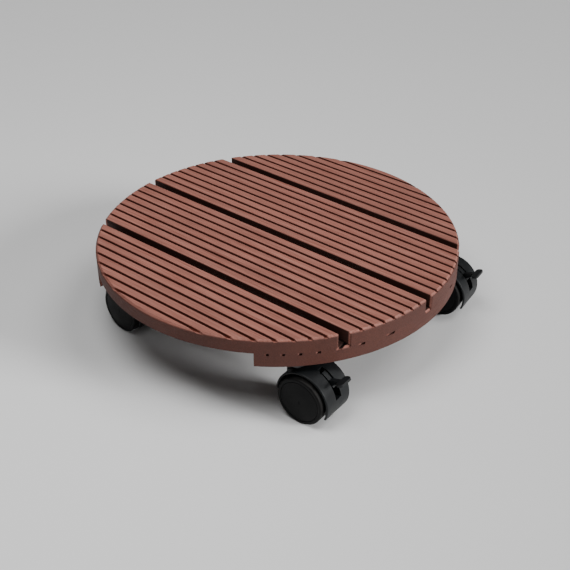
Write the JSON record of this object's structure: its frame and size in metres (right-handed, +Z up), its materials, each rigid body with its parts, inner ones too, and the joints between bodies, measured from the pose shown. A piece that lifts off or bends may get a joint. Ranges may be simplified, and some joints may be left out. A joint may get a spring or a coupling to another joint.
{
  "type": "plant pot caddy",
  "caption": "Round slatted platform on swivel casters for moving a heavy plant pot, with grooved composite slats screwed to crosswise boards and toe brakes on one side.",
  "frame": {"origin": "on the floor under the middle of the round deck, between the four casters", "axes": "+Z up; X along the slats, +X towards the two braked casters; Y across the slats, -Y is the front"},
  "size_m": [0.3, 0.3, 0.073],
  "materials": {
    "composite_board": "extruded wood and plastic composite, reddish brown, fine grain, matt",
    "hood_plastic": "black moulded nylon, fine texture, satin",
    "wheel_plastic": "black moulded nylon wheel, satin tread",
    "cap_plastic": "black moulded plastic, smooth matt",
    "lever_plastic": "black moulded nylon, satin",
    "washer_nylon": "black nylon, satin",
    "plate_steel": "black painted steel",
    "screw_steel": "zinc plated",
    "pin_steel": "bright turned steel"
  },
  "bodies": {
    "deck": {"slat_1": "composite_board", "slat_2": "composite_board", "slat_3": "composite_board", "slat_4": "composite_board", "cross_board_left": "composite_board", "cross_board_right": "composite_board", "slat_screws": "screw_steel", "front_right_mounting_plate": "plate_steel", "front_right_plate_screws": "screw_steel", "front_right_kingpin": "pin_steel", "front_right_grip_ring": "pin_steel", "front_right_thrust_washer": "washer_nylon", "rear_right_mounting_plate": "plate_steel", "rear_right_plate_screws": "screw_steel", "rear_right_kingpin": "pin_steel", "rear_right_grip_ring": "pin_steel", "rear_right_thrust_washer": "washer_nylon", "front_left_mounting_plate": "plate_steel", "front_left_plate_screws": "screw_steel", "front_left_kingpin": "pin_steel", "front_left_grip_ring": "pin_steel", "front_left_thrust_washer": "washer_nylon", "rear_left_mounting_plate": "plate_steel", "rear_left_plate_screws": "screw_steel", "rear_left_kingpin": "pin_steel", "rear_left_grip_ring": "pin_steel", "rear_left_thrust_washer": "washer_nylon"},
    "front_right_caster": {"front_right_caster_housing": "hood_plastic", "front_right_axle": "pin_steel", "front_right_axle_clips": "pin_steel", "front_right_brake_pin": "pin_steel"},
    "front_right_outer_wheel_body": {"front_right_outer_wheel": "wheel_plastic", "front_right_outer_wheel_cap": "cap_plastic"},
    "front_right_inner_wheel_body": {"front_right_inner_wheel": "wheel_plastic", "front_right_inner_wheel_cap": "cap_plastic"},
    "front_right_brake": {"front_right_brake_lever": "lever_plastic"},
    "rear_right_caster": {"rear_right_caster_housing": "hood_plastic", "rear_right_axle": "pin_steel", "rear_right_axle_clips": "pin_steel", "rear_right_brake_pin": "pin_steel"},
    "rear_right_outer_wheel_body": {"rear_right_outer_wheel": "wheel_plastic", "rear_right_outer_wheel_cap": "cap_plastic"},
    "rear_right_inner_wheel_body": {"rear_right_inner_wheel": "wheel_plastic", "rear_right_inner_wheel_cap": "cap_plastic"},
    "rear_right_brake": {"rear_right_brake_lever": "lever_plastic"},
    "front_left_caster": {"front_left_caster_housing": "hood_plastic", "front_left_axle": "pin_steel", "front_left_axle_clips": "pin_steel"},
    "front_left_outer_wheel_body": {"front_left_outer_wheel": "wheel_plastic", "front_left_outer_wheel_cap": "cap_plastic"},
    "front_left_inner_wheel_body": {"front_left_inner_wheel": "wheel_plastic", "front_left_inner_wheel_cap": "cap_plastic"},
    "rear_left_caster": {"rear_left_caster_housing": "hood_plastic", "rear_left_axle": "pin_steel", "rear_left_axle_clips": "pin_steel"},
    "rear_left_outer_wheel_body": {"rear_left_outer_wheel": "wheel_plastic", "rear_left_outer_wheel_cap": "cap_plastic"},
    "rear_left_inner_wheel_body": {"rear_left_inner_wheel": "wheel_plastic", "rear_left_inner_wheel_cap": "cap_plastic"}
  },
  "joints": [
    {"name": "front_right_swivel", "type": "hinge", "parent": "deck", "child": "front_right_caster", "pos_m": [0.094, -0.0915, 0.045], "axis": [0, 0, 1], "continuous": true},
    {"name": "front_right_outer_wheel_spin", "type": "hinge", "parent": "front_right_caster", "child": "front_right_outer_wheel_body", "pos_m": [0.10998, -0.09066, 0.02], "axis": [-0.0523, 0.9986, 0], "continuous": true},
    {"name": "front_right_inner_wheel_spin", "type": "hinge", "parent": "front_right_caster", "child": "front_right_inner_wheel_body", "pos_m": [0.10998, -0.09066, 0.02], "axis": [-0.0523, 0.9986, 0], "continuous": true},
    {"name": "front_right_brake_press", "type": "hinge", "parent": "front_right_caster", "child": "front_right_brake", "pos_m": [0.11847, -0.09022, 0.03472], "axis": [-0.0523, 0.9986, 0], "range_deg": [0, 8]},
    {"name": "rear_right_swivel", "type": "hinge", "parent": "deck", "child": "rear_right_caster", "pos_m": [0.094, 0.0915, 0.045], "axis": [0, 0, 1], "continuous": true},
    {"name": "rear_right_outer_wheel_spin", "type": "hinge", "parent": "rear_right_caster", "child": "rear_right_outer_wheel_body", "pos_m": [0.10984, 0.09373, 0.02], "axis": [-0.1392, 0.9903, 0], "continuous": true},
    {"name": "rear_right_inner_wheel_spin", "type": "hinge", "parent": "rear_right_caster", "child": "rear_right_inner_wheel_body", "pos_m": [0.10984, 0.09373, 0.02], "axis": [-0.1392, 0.9903, 0], "continuous": true},
    {"name": "rear_right_brake_press", "type": "hinge", "parent": "rear_right_caster", "child": "rear_right_brake", "pos_m": [0.11826, 0.09491, 0.03472], "axis": [-0.1392, 0.9903, 0], "range_deg": [0, 8]},
    {"name": "front_left_swivel", "type": "hinge", "parent": "deck", "child": "front_left_caster", "pos_m": [-0.094, -0.0915, 0.045], "axis": [0, 0, 1], "continuous": true},
    {"name": "front_left_outer_wheel_spin", "type": "hinge", "parent": "front_left_caster", "child": "front_left_outer_wheel_body", "pos_m": [-0.07806, -0.09289, 0.02], "axis": [0.0872, 0.9962, 0], "continuous": true},
    {"name": "front_left_inner_wheel_spin", "type": "hinge", "parent": "front_left_caster", "child": "front_left_inner_wheel_body", "pos_m": [-0.07806, -0.09289, 0.02], "axis": [0.0872, 0.9962, 0], "continuous": true},
    {"name": "rear_left_swivel", "type": "hinge", "parent": "deck", "child": "rear_left_caster", "pos_m": [-0.094, 0.0915, 0.045], "axis": [0, 0, 1], "continuous": true},
    {"name": "rear_left_outer_wheel_spin", "type": "hinge", "parent": "rear_left_caster", "child": "rear_left_outer_wheel_body", "pos_m": [-0.07806, 0.09289, 0.02], "axis": [-0.0872, 0.9962, 0], "continuous": true},
    {"name": "rear_left_inner_wheel_spin", "type": "hinge", "parent": "rear_left_caster", "child": "rear_left_inner_wheel_body", "pos_m": [-0.07806, 0.09289, 0.02], "axis": [-0.0872, 0.9962, 0], "continuous": true}
  ]
}
